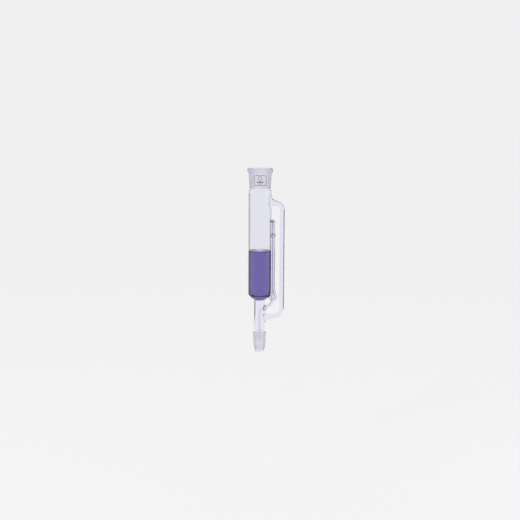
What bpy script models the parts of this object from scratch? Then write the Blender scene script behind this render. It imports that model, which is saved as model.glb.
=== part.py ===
"""Soxhlet extraction body, blown from borosilicate tube, with a violet extract in it.

The origin is on the axis at the gauge plane of the lower ground cone, +Z is up, and the vapour
side tube stands on +X. Routes are drawn in upright planes, as (u, w): u runs out along the
plane's heading, w is the height.
"""
import math

import bpy
import bmesh
from mathutils import Vector

MM = 0.001
GAP = 0.3 * MM                      # space left between pieces that are fused or that touch
WELD = 0.01 * MM                    # merge distance at the seams and poles of turned pieces

# Ground joints: diameters at the wide end, taper 1:10 on the diameter
JOINT_TAPER = 0.1
SOCKET_GAUGE_D = 45.0 * MM
SOCKET_GROUND = 40.0 * MM
SOCKET_WALL = 3.6 * MM
SOCKET_LEAD_IN = 5.0 * MM           # plain mouth above the ground zone
RIM_D = 57.0 * MM
RIM_HEIGHT = 9.4 * MM
RIM_ROUND = 1.6 * MM
RIM_FILLET = 1.5 * MM               # under the rim
MOUTH_FLARE = 0.8 * MM              # the plain mouth opens this much, all round
CONE_GAUGE_D = 29.2 * MM
CONE_GROUND = 32.0 * MM
CONE_WALL = 2.2 * MM
CONE_BEAD_PROUD = 1.0 * MM          # shoulder bead over the gauge diameter, all round
CONE_BEAD_HEIGHT = 3.8 * MM
BEAD_END = math.radians(60.0)       # how far the bead's round goes under, before the ground zone
TIP_D = 21.6 * MM
TIP_LENGTH = 9.5 * MM
TIP_WALL = 2.0 * MM
TIP_STEP = 1.8 * MM                 # height over which the cone draws in to the tip
TIP_SLANT = math.radians(6.0)       # the tip is cut off at a slant, higher on +X

# Chamber
CHAMBER_D = 52.0 * MM
CHAMBER_WALL = 2.2 * MM
CHAMBER_STRAIGHT = 228.8 * MM       # parallel part of the chamber
SHOULDER_HEIGHT = 9.4 * MM
BOWL_CORNER = 10.0 * MM             # corner radius of the round bottom, outside
BOWL_MEET = math.radians(36.87)     # where the corner runs into the dome
CHAMBER_RISE = 77.2 * MM            # lowest point of the chamber above the gauge plane

# Stem and vapour side tube
STEM_D = 25.4 * MM
STEM_WALL = 1.8 * MM
VAPOUR_D = 10.9 * MM
VAPOUR_WALL = 1.4 * MM
VAPOUR_CLEARANCE = 10.5 * MM        # between the siphon and the side tube
UPPER_ARM_DROP = 22.1 * MM          # arm's middle below the shoulder
UPPER_ARM_SLOPE = math.radians(12.0)
UPPER_ARM_BEND = 14.0 * MM
UPPER_MOUTH_R = 12.8 * MM           # flare at the chamber, half its height
UPPER_MOUTH_ACROSS = 10.0 * MM
UPPER_FLARE = 5.0 * MM              # how fast the flare dies away
LOWER_ARM_Z = 37.2 * MM
LOWER_ARM_SLOPE = math.radians(10.0)
LOWER_ARM_BEND = 17.0 * MM
LOWER_MOUTH_R = 11.6 * MM
LOWER_MOUTH_ACROSS = 8.6 * MM
LOWER_FLARE = 3.2 * MM

# Siphon: two legs side by side, the riser in front (-Y), the down leg behind (+Y)
SIPHON_D = 7.0 * MM
SIPHON_BORE = 3.0 * MM
SIPHON_STANDOFF = 1.3 * MM          # between the chamber and the legs
LEG_SPACING = 10.0 * MM
SIPHON_BELOW_ARM = 25.4 * MM        # siphon's top below the flare of the upper arm
OUTLET_ANGLE = math.radians(-49.0)
OUTLET_D = 9.6 * MM
OUTLET_BORE = 6.0 * MM
OUTLET_LENGTH = 4.4 * MM
RISER_RUN = 1.6 * MM                # straight run between the outlet and the bend
RISER_BEND = 6.0 * MM
RISER_LEAN = math.radians(22.0)
RISER_EASE = 20.0 * MM
LEG_LEAN = math.radians(10.0)
LEG_LEAN_BEND = 50.0 * MM
LEG_LEAN_RUN = 8.0 * MM
LEG_BEND = 11.0 * MM
LEG_FALL = math.radians(28.0)       # slope of the leg at the stem's wall
DRIP_EASE = 15.0 * MM
DRIP_FALL = math.radians(5.0)
DRIP_BEND = 8.5 * MM
DRIP_END_Z = -14.0 * MM
SEAL_R = 9.6 * MM                   # collar pulled out of the stem round the down leg
SEAL_ACROSS = 8.0 * MM
SEAL_FLARE = 2.4 * MM
SEAL_LENGTH = 4.0 * MM
SEAL_LIP = 0.8 * MM
SEAL_RINGS = 8
SEAL_CLEARANCE = 1.2 * MM           # between the collar and the lower arm's flare
HOLE_MARGIN = 3.0 * MM              # holes in the walls are this much smaller than the flares
BRIDGE_DROP = 36.7 * MM             # bridge bead below the siphon's top
BRIDGE_WRAP = 1.9 * MM              # glass of the bead round the legs
BRIDGE_HEIGHT = 9.8 * MM
STAY_HEIGHT = 7.0 * MM
STAY_WIDTH = 8.0 * MM
STAY_WRAP = 0.6 * MM
STAY_DROP = 1.2 * MM                # stay below the middle of the top bend's tube

# Extract
LIQUID_DEPTH = 114.1 * MM
MENISCUS = 1.0 * MM
COLUMN_END_Z = -4.0 * MM            # the thread of extract in the drip tube ends here

# Enamelled writing patch, empty, on the socket
MARK_WIDTH = 30.0 * MM
MARK_HEIGHT = 23.5 * MM
MARK_LINE = 1.3 * MM
MARK_THICKNESS = 0.3 * MM
MARK_DROP = 14.0 * MM               # top of the patch below the rim

# How finely the round shapes are divided
TURN_STEPS = 40
STEM_STEPS = 32
ARM_SIDES = 18
SIPHON_SIDES = 14
COLUMN_SIDES = 8
CUTTER_SIDES = 24
ARM_STEP = 2.4 * MM
ARC_STEP = math.radians(15.0)
SHARP = math.radians(40.0)          # edges sharper than this are shaded as edges
BAR_SHARE = 0.62                    # height of the bar in the writing patch, from its top

# Sizes that follow from those above
CHAMBER_R = CHAMBER_D / 2
STEM_R = STEM_D / 2
SIPHON_R = SIPHON_D / 2
VAPOUR_R = VAPOUR_D / 2
DOME_R = BOWL_CORNER + (CHAMBER_R - BOWL_CORNER) / math.cos(BOWL_MEET)
DOME_Z = CHAMBER_RISE + DOME_R
BOWL_TOP = DOME_Z - (DOME_R - BOWL_CORNER) * math.sin(BOWL_MEET)
SHOULDER_Z = BOWL_TOP + CHAMBER_STRAIGHT
SOCKET_FOOT = SHOULDER_Z + SHOULDER_HEIGHT
GROUND_TOP = SOCKET_FOOT + SOCKET_GROUND
RIM_TOP = GROUND_TOP + SOCKET_LEAD_IN
UPPER_ARM_Z = SHOULDER_Z - UPPER_ARM_DROP
SIPHON_TOP = UPPER_ARM_Z - UPPER_MOUTH_R - SIPHON_BELOW_ARM
LEG_X = CHAMBER_R + SIPHON_STANDOFF + SIPHON_R
LEG_Y = LEG_SPACING / 2
LEG_TOP = SIPHON_TOP - SIPHON_R - LEG_Y
VAPOUR_X = LEG_X + SIPHON_R + VAPOUR_CLEARANCE + VAPOUR_R
SEAL_Z = LOWER_ARM_Z + LOWER_MOUTH_R + SEAL_CLEARANCE + SEAL_R
BRIDGE_Z = SIPHON_TOP - BRIDGE_DROP
LIQUID_Z = CHAMBER_RISE + CHAMBER_WALL + LIQUID_DEPTH


# ---------------------------------------------------------------- general helpers

def clear_scene():
    for item in list(bpy.data.objects):
        bpy.data.objects.remove(item)


def glassy(name, colour, roughness=0.02, clear=1.0):
    """A Principled material; clear is its transmission."""
    material = bpy.data.materials.new(name)
    material.use_nodes = True
    shader = material.node_tree.nodes["Principled BSDF"]
    shader.inputs["Base Color"].default_value = (*colour, 1.0)
    shader.inputs["Roughness"].default_value = roughness
    shader.inputs["Metallic"].default_value = 0.0
    shader.inputs["Transmission Weight"].default_value = clear
    return material


def add_object(name, mesh, material=None):
    item = bpy.data.objects.new(name, mesh)
    bpy.context.scene.collection.objects.link(item)
    if material:
        mesh.materials.append(material)
    return item


def as_cutter(item):
    item.hide_render = True
    item.display_type = "WIRE"
    return item


def cut(item, *cutters):
    for cutter in cutters:
        boolean = item.modifiers.new("cut_" + cutter.name, "BOOLEAN")
        boolean.operation = "DIFFERENCE"
        boolean.solver = "EXACT"
        boolean.object = cutter


def turned(name, outline, material=None, steps=TURN_STEPS, pole=None):
    """A solid turned from a closed outline of (radius, height), down its outer side first.

    An outline that starts and ends on the axis isn't closed there. pole is the place in the list
    of a vessel's lowest outside point, where its outside ends and its inside begins.
    """
    mesh = bpy.data.meshes.new(name)
    count = len(outline)
    links = [(i, i + 1) for i in range(count - 1) if i != pole]
    if outline[0][0] > WELD or outline[-1][0] > WELD:
        links.append((count - 1, 0))
    mesh.from_pydata([(r, 0.0, z) for r, z in outline], links, [])
    item = add_object(name, mesh, material)
    screw = item.modifiers.new("turn", "SCREW")
    screw.axis = "Z"
    screw.angle = math.tau
    screw.steps = steps
    screw.render_steps = steps
    screw.use_merge_vertices = True
    screw.merge_threshold = WELD
    screw.use_smooth_shade = True
    return item


def arc(centre, radius, start, end, count):
    """Points of an arc in the (radius, height) plane, both ends included; angles in radians."""
    angles = [start + (end - start) * i / count for i in range(count + 1)]
    return [(centre[0] + radius * math.cos(a), centre[1] + radius * math.sin(a)) for a in angles]


# ---------------------------------------------------------------- routes and tubes

class Plane:
    """An upright plane: a foot on the ground plan and the heading in which u grows."""

    def __init__(self, foot, heading):
        self.foot = Vector((foot[0], foot[1], 0.0))
        self.out = Vector((heading[0], heading[1], 0.0)).normalized()
        self.across = Vector((-self.out.y, self.out.x, 0.0))

    def point(self, u, w):
        return self.foot + self.out * u + Vector((0.0, 0.0, w))


def route(start, heading, moves):
    """Stations (u, w, heading) along straight runs ("go", length) and ("turn", radius, angle)."""
    u, w = start
    stations = [(u, w, heading)]
    for move in moves:
        if move[0] == "go":
            u += move[1] * math.cos(heading)
            w += move[1] * math.sin(heading)
            stations.append((u, w, heading))
            continue
        _, radius, angle = move
        side = math.copysign(1.0, angle)
        centre_u = u - side * radius * math.sin(heading)
        centre_w = w + side * radius * math.cos(heading)
        count = max(2, math.ceil(abs(angle) / ARC_STEP))
        for step in range(1, count + 1):
            turned_to = heading + angle * step / count
            u = centre_u + side * radius * math.sin(turned_to)
            w = centre_w - side * radius * math.cos(turned_to)
            stations.append((u, w, turned_to))
        heading += angle
    return stations


def divided(stations, longest):
    """The same route with its straight runs divided into steps no longer than longest."""
    result = [stations[0]]
    for before, after in zip(stations, stations[1:]):
        length = math.hypot(after[0] - before[0], after[1] - before[1])
        parts = math.ceil(length / longest) if before[2] == after[2] else 1
        for i in range(1, parts + 1):
            share = i / parts
            result.append(tuple(a + (b - a) * share for a, b in zip(before, after)))
    return result


def shortened(stations, at_start=0.0, at_end=0.0):
    """The route with a little taken off its straight first and last run."""
    return [moved(stations[0], at_start)] + stations[1:-1] + [moved(stations[-1], -at_end)]


def ring_points(plane, station, in_plane, across, sides):
    u, w, heading = station
    lift = -math.sin(heading) * plane.out + Vector((0.0, 0.0, math.cos(heading)))
    centre = plane.point(u, w)
    angles = [math.tau * i / sides for i in range(sides)]
    return [centre + lift * in_plane * math.cos(a) + plane.across * across * math.sin(a)
            for a in angles]


def swept(name, plane, stations, radii, sides, material=None, bore=None):
    """A rod or, with bore, a tube along a route.

    radii and bore give (in-plane, across) radii at each station. The outer skin runs from the
    first station to the last, and a tube's inner skin runs back.
    """
    mesh = bpy.data.meshes.new(name)
    shell = bmesh.new()
    skin = [ring_points(plane, s, *r, sides) for s, r in zip(stations, radii)]
    if bore:
        lining = [ring_points(plane, s, *r, sides) for s, r in zip(stations, bore)]
        skin = skin + lining[::-1]
    rings = [[shell.verts.new(point) for point in ring] for ring in skin]
    pairs = list(zip(rings, rings[1:]))
    if bore:
        pairs.append((rings[-1], rings[0]))
    for ring, following in pairs:
        for i in range(sides):
            j = (i + 1) % sides
            shell.faces.new((ring[i], following[i], following[j], ring[j]))
    if not bore:
        shell.faces.new(rings[0])
        shell.faces.new(rings[-1][::-1])
    bmesh.ops.recalc_face_normals(shell, faces=shell.faces)
    shell.to_mesh(mesh)
    shell.free()
    mesh.shade_smooth()
    mesh.set_sharp_from_angle(angle=SHARP)
    return add_object(name, mesh, material)


def round_tube(name, plane, stations, radius, bore_radius, sides, material):
    outer = [(radius, radius)] * len(stations)
    inner = [(bore_radius, bore_radius)] * len(stations)
    return swept(name, plane, stations, outer, sides, material, inner)


def flare(distance, narrow, wide, length):
    """Radius that dies away from wide to narrow with the distance from the wall."""
    return narrow + (wide - narrow) * math.exp(-max(distance, 0.0) / length)


def moved(station, distance):
    """The station moved along its own heading."""
    u, w, heading = station
    return (u + distance * math.cos(heading), w + distance * math.sin(heading), heading)


def rod_cutter(name, plane, station, length, in_plane, across=None):
    """A straight cutter that starts at a station and runs along its heading."""
    radii = [(in_plane, across or in_plane)] * 2
    return as_cutter(swept(name, plane, [station, moved(station, length)], radii, CUTTER_SIDES))


# ---------------------------------------------------------------- outlines shared by pieces

def bowl_outline(offset, count=5):
    """Round bottom, from the parallel wall to the pole, moved outward by offset."""
    corner = arc((CHAMBER_R - BOWL_CORNER, BOWL_TOP), BOWL_CORNER + offset, 0.0, -BOWL_MEET, 3)
    dome = arc((0.0, DOME_Z), DOME_R + offset, -BOWL_MEET, -math.pi / 2, count)
    return corner + dome[1:-1] + [(0.0, DOME_Z - DOME_R - offset)]


def dome_height(radius, offset):
    """Height of the dome's surface, moved outward by offset, at a radius."""
    return DOME_Z - math.sqrt((DOME_R + offset) ** 2 - radius ** 2)


def ground_radius(gauge_d, below_gauge):
    return (gauge_d - JOINT_TAPER * below_gauge) / 2


def socket_outside(below_rim):
    """Outer radius of the socket's wall: the ground bore plus the wall."""
    return ground_radius(SOCKET_GAUGE_D, below_rim - SOCKET_LEAD_IN) + SOCKET_WALL


def chamber_envelope(name):
    """Everything inside the chamber's outer surface, grown by the gap; cuts what is fused on."""
    top = (CHAMBER_R + GAP, SHOULDER_Z)
    outline = [(0.0, SHOULDER_Z), top] + bowl_outline(GAP)
    return as_cutter(turned(name, outline, steps=TURN_STEPS))


def stem_envelope(name):
    radius = STEM_R + GAP
    outline = [(0.0, CHAMBER_RISE), (radius, CHAMBER_RISE), (radius, 0.0), (0.0, 0.0)]
    return as_cutter(turned(name, outline, steps=STEM_STEPS))


# ---------------------------------------------------------------- routes of the siphon and arms

FRONT_PLANE = Plane((0.0, -LEG_Y), (1.0, 0.0))
MIDDLE_PLANE = Plane((0.0, 0.0), (1.0, 0.0))
REAR_PLANE = Plane((0.0, 0.0), (LEG_X, LEG_Y))
BEND_PLANE = Plane((LEG_X, -LEG_Y), (0.0, 1.0))
REAR_U = math.hypot(LEG_X, LEG_Y)


def outlet_route():
    """From inside the chamber's corner, straight out through the wall."""
    corner = (CHAMBER_R - BOWL_CORNER, BOWL_TOP)
    reach = BOWL_CORNER - CHAMBER_WALL - GAP
    start = (corner[0] + reach * math.cos(OUTLET_ANGLE), corner[1] + reach * math.sin(OUTLET_ANGLE))
    return route(start, OUTLET_ANGLE, [("go", CHAMBER_WALL + GAP + OUTLET_LENGTH)])


def riser_route():
    """On from the outlet: under and up in a U, back in a lean, then straight up the chamber."""
    foot = outlet_route()[-1]
    sweep = math.pi / 2 + RISER_LEAN - OUTLET_ANGLE
    after_bend = route(foot[:2], OUTLET_ANGLE, [("go", RISER_RUN), ("turn", RISER_BEND, sweep)])[-1]
    ease = RISER_EASE * (1.0 - math.cos(RISER_LEAN))
    lean_run = (after_bend[0] - LEG_X - ease) / math.sin(RISER_LEAN)
    upright_from = after_bend[1] + lean_run * math.cos(RISER_LEAN) + RISER_EASE * math.sin(RISER_LEAN)
    return route(foot[:2], OUTLET_ANGLE, [
        ("go", RISER_RUN), ("turn", RISER_BEND, sweep), ("go", lean_run),
        ("turn", RISER_EASE, -RISER_LEAN), ("go", LEG_TOP - upright_from)])


def top_bend_route():
    return route((0.0, LEG_TOP), math.pi / 2, [("turn", LEG_Y, -math.pi)])


def down_moves():
    """Moves from the siphon's top to the stem's wall, and those of the drip tube after it."""
    to_fall = math.pi / 2 - LEG_FALL
    to_drip = math.pi / 2 - DRIP_FALL
    inside = (DRIP_EASE * (math.cos(to_fall) - math.cos(to_drip))
              + DRIP_BEND * (1.0 - math.cos(to_drip)))
    lean = LEG_LEAN_BEND * (1.0 - math.cos(LEG_LEAN)) + LEG_LEAN_RUN * math.sin(LEG_LEAN)
    bend = LEG_BEND * (math.cos(LEG_LEAN) - math.cos(to_fall))
    fall_run = (REAR_U - inside - lean - bend) / math.sin(to_fall)
    outside = [("turn", LEG_LEAN_BEND, -LEG_LEAN), ("go", LEG_LEAN_RUN),
               ("turn", LEG_BEND, -(to_fall - LEG_LEAN)), ("go", fall_run)]
    return outside, [("turn", DRIP_EASE, -(to_drip - to_fall)), ("turn", DRIP_BEND, to_drip)]


def down_leg_route():
    outside, _ = down_moves()
    trial = route((REAR_U, 0.0), -math.pi / 2, outside)
    crossing = trial[-1]
    past_wall = (STEM_R - crossing[0]) * math.tan(LEG_FALL)
    bend_top = SEAL_Z - crossing[1] - past_wall
    return route((REAR_U, LEG_TOP), -math.pi / 2, [("go", LEG_TOP - bend_top)] + outside)


def drip_route():
    start = down_leg_route()[-1]
    _, inside = down_moves()
    bent = route(start[:2], start[2], inside)
    return bent + [(bent[-1][0], DRIP_END_Z, -math.pi / 2)]


def upper_arm_route():
    """Out of the chamber at a slight fall, then round into the upright side tube."""
    bend_width = UPPER_ARM_BEND * (1.0 - math.sin(UPPER_ARM_SLOPE))
    inside = STEM_R                               # starts well inside the chamber's wall
    run = (VAPOUR_X - bend_width - inside) / math.cos(UPPER_ARM_SLOPE)
    start_z = UPPER_ARM_Z + (CHAMBER_R - inside) * math.tan(UPPER_ARM_SLOPE)
    return route((inside, start_z), -UPPER_ARM_SLOPE, [
        ("go", run), ("turn", UPPER_ARM_BEND, UPPER_ARM_SLOPE - math.pi / 2)])


def lower_arm_route():
    """Out of the stem at a slight rise, then round up into the side tube."""
    bend_width = LOWER_ARM_BEND * (1.0 - math.sin(LOWER_ARM_SLOPE))
    inside = STEM_R / 2
    run = (VAPOUR_X - bend_width - inside) / math.cos(LOWER_ARM_SLOPE)
    start_z = LOWER_ARM_Z - (STEM_R - inside) * math.tan(LOWER_ARM_SLOPE)
    return route((inside, start_z), LOWER_ARM_SLOPE, [
        ("go", run), ("turn", LOWER_ARM_BEND, math.pi / 2 - LOWER_ARM_SLOPE)])


# ---------------------------------------------------------------- pieces

def make_socket(glass):
    """Ground socket with its rolled rim."""
    rim_r = RIM_D / 2
    mouth_r = ground_radius(SOCKET_GAUGE_D, 0.0)
    under_rim = RIM_TOP - RIM_HEIGHT
    upper = arc((rim_r - RIM_ROUND, RIM_TOP - RIM_ROUND), RIM_ROUND, math.pi / 2, 0.0, 3)
    lower = arc((rim_r - RIM_ROUND, under_rim + RIM_ROUND), RIM_ROUND, 0.0, -math.pi / 2, 3)
    foot = SOCKET_FOOT + GAP
    outline = upper + lower + [
        (socket_outside(RIM_HEIGHT) + RIM_FILLET / 3, under_rim - RIM_FILLET / 3),
        (socket_outside(RIM_HEIGHT + RIM_FILLET), under_rim - RIM_FILLET),
        (socket_outside(RIM_TOP - foot), foot),
        (ground_radius(SOCKET_GAUGE_D, GROUND_TOP - foot), foot),
        (mouth_r, GROUND_TOP),
        (mouth_r + MOUTH_FLARE, RIM_TOP)]
    turned("ground_socket", outline, glass)


def make_chamber(glass):
    """Shoulder, parallel wall and round bottom, open into the socket, the arm and the siphon."""
    neck_r = socket_outside(RIM_TOP - SOCKET_FOOT)
    neck_bore = ground_radius(SOCKET_GAUGE_D, SOCKET_GROUND)
    bore_r = CHAMBER_R - CHAMBER_WALL
    waist_z = SHOULDER_Z + SHOULDER_HEIGHT / 2
    outside = [(neck_r, SOCKET_FOOT),
               ((neck_r + CHAMBER_R) / 2, waist_z),
               (CHAMBER_R, SHOULDER_Z)] + bowl_outline(0.0)
    inside = bowl_outline(-CHAMBER_WALL)[::-1] + [
        (bore_r, SHOULDER_Z),
        ((neck_bore + bore_r) / 2, waist_z),
        (neck_bore, SOCKET_FOOT)]
    chamber = turned("extraction_chamber", outside + inside, glass, pole=len(outside) - 1)
    arm = upper_arm_route()[0]
    arm_hole = rod_cutter("cut_arm_hole", MIDDLE_PLANE, arm, CHAMBER_R,
                          UPPER_MOUTH_R - HOLE_MARGIN, UPPER_MOUTH_ACROSS - HOLE_MARGIN)
    outlet_hole = rod_cutter("cut_outlet_hole", FRONT_PLANE, moved(outlet_route()[0], -CHAMBER_WALL),
                             BOWL_CORNER, OUTLET_BORE / 2)
    cut(chamber, arm_hole, outlet_hole)




def make_outlet(glass):
    """Short stub at the chamber's lower corner, narrowing to the siphon tube."""
    ends = shortened(outlet_route(), 0.0, GAP / 2)
    outer = [(OUTLET_D / 2, OUTLET_D / 2), (SIPHON_R, SIPHON_R)]
    inner = [(OUTLET_BORE / 2, OUTLET_BORE / 2), (SIPHON_BORE / 2, SIPHON_BORE / 2)]
    stub = swept("outlet_stub", FRONT_PLANE, ends, outer, SIPHON_SIDES, glass, inner)
    cut(stub, chamber_envelope("cut_outlet_seat"))


def make_siphon(glass):
    """Riser, top bend, down leg and the drip tube inside the stem, end to end."""
    half = GAP / 2
    bend = top_bend_route()
    pieces = (("siphon_riser", FRONT_PLANE, shortened(riser_route(), half, half)),
              ("siphon_top_bend", BEND_PLANE, [moved(bend[0], half)] + bend[1:-1]
               + [moved(bend[-1], -half)]),
              ("siphon_down_leg", REAR_PLANE, shortened(down_leg_route(), half, half)),
              ("drip_tube", REAR_PLANE, shortened(drip_route(), half)))
    for name, plane, stations in pieces:
        round_tube(name, plane, stations, SIPHON_R, SIPHON_BORE / 2, SIPHON_SIDES, glass)


def make_ring_seal(glass):
    """Collar drawn out of the stem's wall, round the down leg where it goes in."""
    at_wall = down_leg_route()[-1]
    slope = math.tan(LEG_FALL)
    narrow = (SIPHON_R + GAP) / math.cos(LEG_FALL) + SEAL_LIP
    stations, radii = [], []
    for i in range(SEAL_RINGS + 1):
        distance = SEAL_LENGTH - (SEAL_LENGTH + STEM_R / 2) * i / SEAL_RINGS
        u = STEM_R + distance
        stations.append((u, at_wall[1] + (u - at_wall[0]) * slope, math.pi))
        radii.append((flare(distance, narrow, SEAL_R, SEAL_FLARE),
                      flare(distance, narrow, SEAL_ACROSS, SEAL_FLARE)))
    seal = swept("drip_ring_seal", REAR_PLANE, stations, radii, ARM_SIDES, glass)
    leg_cut = rod_cutter("cut_seal_bore", REAR_PLANE, moved(at_wall, -2 * SEAL_R), 4 * SEAL_R,
                         SIPHON_R + GAP)
    cut(seal, stem_envelope("cut_seal_seat"), leg_cut)


def make_side_arm(name, stations, wall_r, mouth, across, length, seat, glass):
    """Flared arm of the vapour tube, ending where the straight side tube begins."""
    outer, inner = [], []
    for u, _, _ in stations:
        distance = u - wall_r
        tall = flare(distance, VAPOUR_R, mouth, length)
        wide = flare(distance, VAPOUR_R, across, length)
        outer.append((tall, wide))
        inner.append((tall - VAPOUR_WALL, wide - VAPOUR_WALL))
    arm = swept(name, MIDDLE_PLANE, stations, outer, ARM_SIDES, glass, inner)
    cut(arm, seat)


def make_vapour_way(glass):
    """Upper arm, straight side tube and lower arm."""
    upper = divided(upper_arm_route(), ARM_STEP)
    lower = divided(lower_arm_route(), ARM_STEP)
    top, bottom = upper[-1][1], lower[-1][1]
    make_side_arm("upper_side_arm", upper, CHAMBER_R, UPPER_MOUTH_R, UPPER_MOUTH_ACROSS,
                  UPPER_FLARE, chamber_envelope("cut_upper_seat"), glass)
    make_side_arm("lower_side_arm", lower, STEM_R, LOWER_MOUTH_R, LOWER_MOUTH_ACROSS,
                  LOWER_FLARE, stem_envelope("cut_lower_seat"), glass)
    straight = route((VAPOUR_X, bottom + GAP), math.pi / 2, [("go", top - bottom - 2 * GAP)])
    round_tube("vapour_tube", MIDDLE_PLANE, straight, VAPOUR_R, VAPOUR_R - VAPOUR_WALL,
               ARM_SIDES, glass)


def make_stem(glass):
    """Stem from the cone's bead up to the chamber's bottom, open to the arm and the drip tube."""
    inner_r = STEM_R - STEM_WALL
    foot = CONE_BEAD_HEIGHT + GAP
    outline = [(STEM_R, dome_height(STEM_R, GAP)), (STEM_R, foot),
               (inner_r, foot), (inner_r, dome_height(inner_r, GAP))]
    stem = turned("stem_tube", outline, glass, STEM_STEPS)
    arm_hole = rod_cutter("cut_lower_hole", MIDDLE_PLANE, lower_arm_route()[0], STEM_R,
                          LOWER_MOUTH_R - HOLE_MARGIN, LOWER_MOUTH_ACROSS - HOLE_MARGIN)
    leg = down_leg_route()[-1]
    leg_hole = rod_cutter("cut_leg_hole", REAR_PLANE, moved(leg, -STEM_R / 2), STEM_R,
                          SIPHON_R + GAP)
    drip = drip_route()
    radii = [(SIPHON_R + GAP, SIPHON_R + GAP)] * len(drip)
    drip_hole = as_cutter(swept("cut_drip_hole", REAR_PLANE, drip, radii, SIPHON_SIDES))
    cut(stem, arm_hole, leg_hole, drip_hole)


def make_cone(glass):
    """Lower ground cone with its shoulder bead and slanted drip tip."""
    gauge_r = CONE_GAUGE_D / 2
    bead_r = gauge_r + CONE_BEAD_PROUD
    small_r = ground_radius(CONE_GAUGE_D, CONE_GROUND)
    tip_r = TIP_D / 2
    tip_z = -CONE_GROUND - TIP_LENGTH
    round_r = CONE_BEAD_HEIGHT / 2
    shoulder = arc((bead_r - round_r, round_r), round_r, math.pi / 2, -BEAD_END, 5)
    outline = shoulder + [
        (gauge_r, 0.0),
        (small_r, -CONE_GROUND),
        (tip_r, -CONE_GROUND - TIP_STEP),
        (tip_r, tip_z),
        (tip_r - TIP_WALL, tip_z),
        (tip_r - TIP_WALL, -CONE_GROUND - TIP_STEP),
        (small_r - CONE_WALL, -CONE_GROUND + TIP_STEP),
        (STEM_R - STEM_WALL, 0.0),
        (STEM_R - STEM_WALL, CONE_BEAD_HEIGHT)]
    cone = turned("ground_cone", outline, glass, STEM_STEPS)
    size = 2 * TIP_D
    drop = tip_r * math.sin(TIP_SLANT)
    bm = bmesh.new()
    bmesh.ops.create_cube(bm, size=size)
    mesh = bpy.data.meshes.new("cut_tip")
    bm.to_mesh(mesh)
    bm.free()
    block = as_cutter(add_object("cut_tip", mesh))
    block.rotation_euler = (0.0, -TIP_SLANT, 0.0)
    block.location = (size / 2 * math.sin(TIP_SLANT), 0.0,
                      tip_z + drop - size / 2 * math.cos(TIP_SLANT))
    cut(cone, block)


def bead(name, centre, half, glass):
    """A melted bead of glass: a ball drawn out to three half sizes."""
    bm = bmesh.new()
    bmesh.ops.create_uvsphere(bm, u_segments=20, v_segments=12, radius=1.0)
    bmesh.ops.scale(bm, vec=half, verts=bm.verts)
    bmesh.ops.translate(bm, vec=centre, verts=bm.verts)
    mesh = bpy.data.meshes.new(name)
    bm.to_mesh(mesh)
    bm.free()
    mesh.shade_smooth()
    return add_object(name, mesh, glass)


def make_bridge_and_stay(glass):
    """The bead that ties both legs to the chamber, and the one that holds the top bend."""
    around = SIPHON_R + GAP + BRIDGE_WRAP
    bridge = bead("siphon_bridge", (LEG_X, 0.0, BRIDGE_Z),
                  (around, LEG_Y + around, BRIDGE_HEIGHT / 2), glass)
    legs = []
    for name, side in (("cut_bridge_riser", -1.0), ("cut_bridge_leg", 1.0)):
        plane = Plane((LEG_X, side * LEG_Y), (1.0, 0.0))
        foot = (0.0, BRIDGE_Z - BRIDGE_HEIGHT, math.pi / 2)
        legs.append(rod_cutter(name, plane, foot, 2 * BRIDGE_HEIGHT, SIPHON_R + GAP))
    cut(bridge, chamber_envelope("cut_bridge_seat"), *legs)

    reach = LEG_X - CHAMBER_R
    stay = bead("siphon_stay", (CHAMBER_R + reach / 2, 0.0, LEG_TOP + LEG_Y - STAY_DROP),
                (reach / 2 + STAY_WRAP, STAY_WIDTH / 2, STAY_HEIGHT / 2), glass)
    bend = top_bend_route()
    bend = [moved(bend[0], -SIPHON_D)] + bend + [moved(bend[-1], SIPHON_D)]
    radii = [(SIPHON_R + GAP, SIPHON_R + GAP)] * len(bend)
    bend_cut = as_cutter(swept("cut_stay_bend", BEND_PLANE, bend, radii, 2 * SIPHON_SIDES))
    cut(stay, chamber_envelope("cut_stay_seat"), bend_cut)


def make_extract(violet):
    """The pool in the chamber, and the thread that runs through the siphon to the drip tube."""
    wall = -CHAMBER_WALL - GAP
    pool_r = CHAMBER_R + wall
    outline = [(0.0, LIQUID_Z - MENISCUS), (pool_r - 2 * MENISCUS, LIQUID_Z - MENISCUS),
               (pool_r, LIQUID_Z)] + bowl_outline(wall)
    turned("chamber_extract", outline, violet)

    thread_r = SIPHON_BORE / 2 - GAP
    first = shortened(outlet_route(), GAP)
    rise = riser_route()
    front = first + rise[1:]
    stations = [(FRONT_PLANE, s) for s in front]
    stations += [(BEND_PLANE, s) for s in top_bend_route()[1:-1]]
    drip = drip_route()
    drip[-1] = (drip[-1][0], COLUMN_END_Z, drip[-1][2])
    rear = down_leg_route() + drip[1:]
    stations += [(REAR_PLANE, s) for s in rear]
    mouth_r = OUTLET_BORE / 2 - 2 * GAP
    radii = [mouth_r] + [thread_r] * (len(stations) - 1)
    thread("siphon_extract", stations, radii, violet)


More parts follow.
